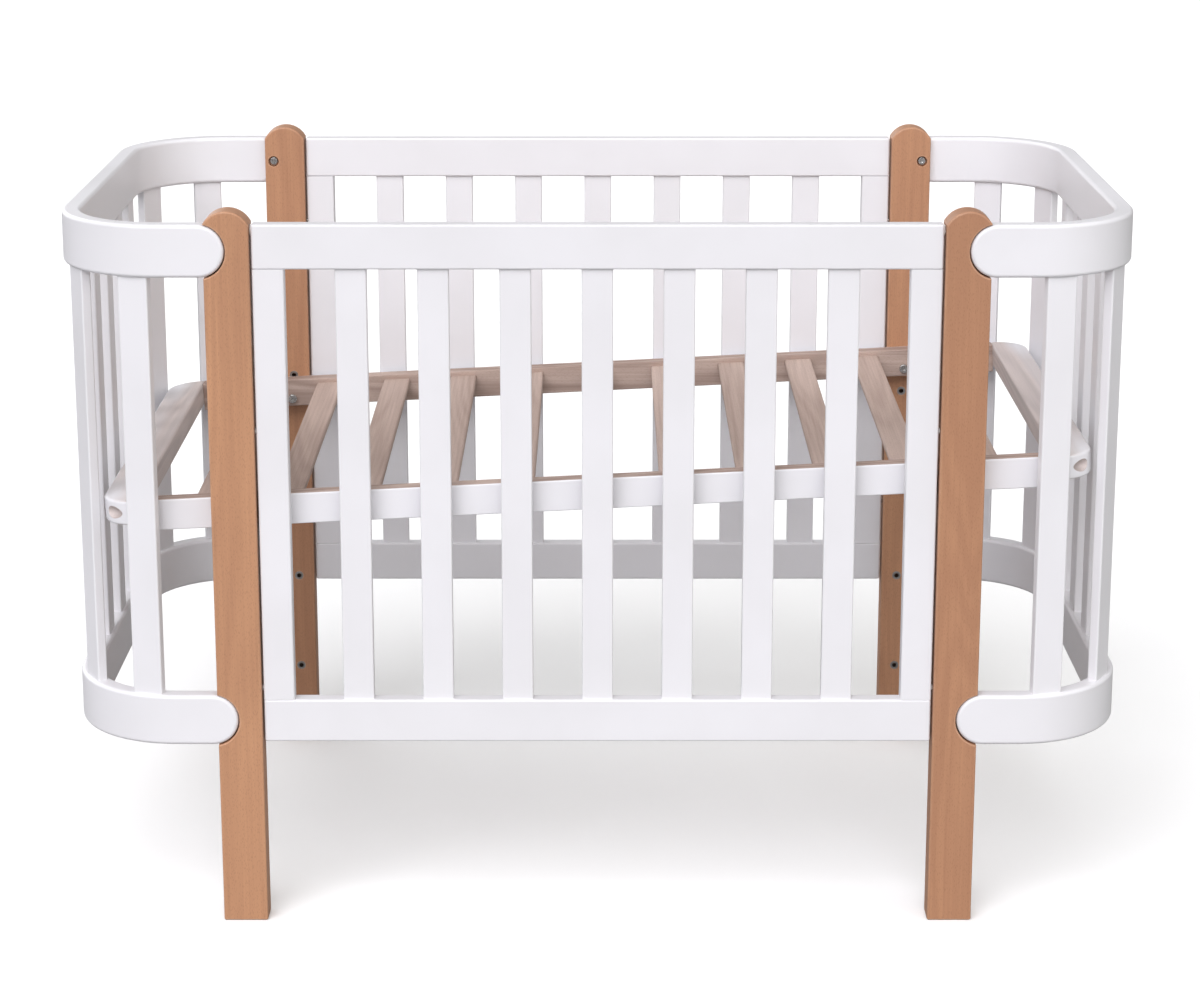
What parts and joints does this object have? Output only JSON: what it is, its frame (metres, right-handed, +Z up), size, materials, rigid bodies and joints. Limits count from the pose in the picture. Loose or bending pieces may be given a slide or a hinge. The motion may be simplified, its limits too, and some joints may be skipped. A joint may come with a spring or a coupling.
{
  "type": "baby crib",
  "caption": "Baby crib with arched beech posts, white end rails bent to a U, upright slats all round, a front side that slides down and a slatted mattress base bolted at a slight tilt.",
  "frame": {"origin": "on the floor, under the middle of the crib's box", "axes": "+X along the long side, with the base's higher end at +X; the drop side, the front, is at -Y; +Z up"},
  "size_m": [1.266, 0.664, 0.871],
  "materials": {
    "oiled_beech": "satin oiled beech, straight grain",
    "white_lacquer": "satin white lacquer on wood",
    "part_painted_beech": "white lacquer outside, raw wood on the cut faces",
    "raw_beech": "raw planed beech",
    "zinc_steel": "zinc plated",
    "insert_steel": "turned steel",
    "white_plastic": "semi-gloss moulded nylon"
  },
  "bodies": {
    "crib_frame": {"back_bottom_rail": "white_lacquer", "back_panel_bolts": "zinc_steel", "back_slat_1": "white_lacquer", "back_slat_2": "white_lacquer", "back_slat_3": "white_lacquer", "back_slat_4": "white_lacquer", "back_slat_5": "white_lacquer", "back_slat_6": "white_lacquer", "back_slat_7": "white_lacquer", "back_stile_left": "white_lacquer", "back_stile_right": "white_lacquer", "back_top_rail": "white_lacquer", "base_beam_back": "part_painted_beech", "base_beam_front": "part_painted_beech", "base_bolts": "zinc_steel", "base_cross_slats": "raw_beech", "base_end_board_left": "part_painted_beech", "base_end_board_right": "part_painted_beech", "drop_guide_pins": "white_plastic", "end_board_bolts": "zinc_steel", "end_slat_left_1": "white_lacquer", "end_slat_left_2": "white_lacquer", "end_slat_left_3": "white_lacquer", "end_slat_left_4": "white_lacquer", "end_slat_left_5": "white_lacquer", "end_slat_left_6": "white_lacquer", "end_slat_left_7": "white_lacquer", "end_slat_left_8": "white_lacquer", "end_slat_left_9": "white_lacquer", "end_slat_right_1": "white_lacquer", "end_slat_right_2": "white_lacquer", "end_slat_right_3": "white_lacquer", "end_slat_right_4": "white_lacquer", "end_slat_right_5": "white_lacquer", "end_slat_right_6": "white_lacquer", "end_slat_right_7": "white_lacquer", "end_slat_right_8": "white_lacquer", "end_slat_right_9": "white_lacquer", "lower_end_rail_left": "white_lacquer", "lower_end_rail_right": "white_lacquer", "post_back_left": "oiled_beech", "post_back_right": "oiled_beech", "post_front_left": "oiled_beech", "post_front_right": "oiled_beech", "rail_bolts": "zinc_steel", "threaded_inserts": "insert_steel", "upper_end_rail_left": "white_lacquer", "upper_end_rail_right": "white_lacquer"},
    "drop_side": {"drop_bottom_rail": "white_lacquer", "drop_glides": "white_plastic", "drop_slat_1": "white_lacquer", "drop_slat_2": "white_lacquer", "drop_slat_3": "white_lacquer", "drop_slat_4": "white_lacquer", "drop_slat_5": "white_lacquer", "drop_slat_6": "white_lacquer", "drop_slat_7": "white_lacquer", "drop_stile_left": "white_lacquer", "drop_stile_right": "white_lacquer", "drop_top_rail": "white_lacquer"}
  },
  "joints": [
    {"name": "drop_side_slide", "type": "slide", "parent": "crib_frame", "child": "drop_side", "axis": [0, 0, 1], "range_m": [-0.215, 0]}
  ]
}
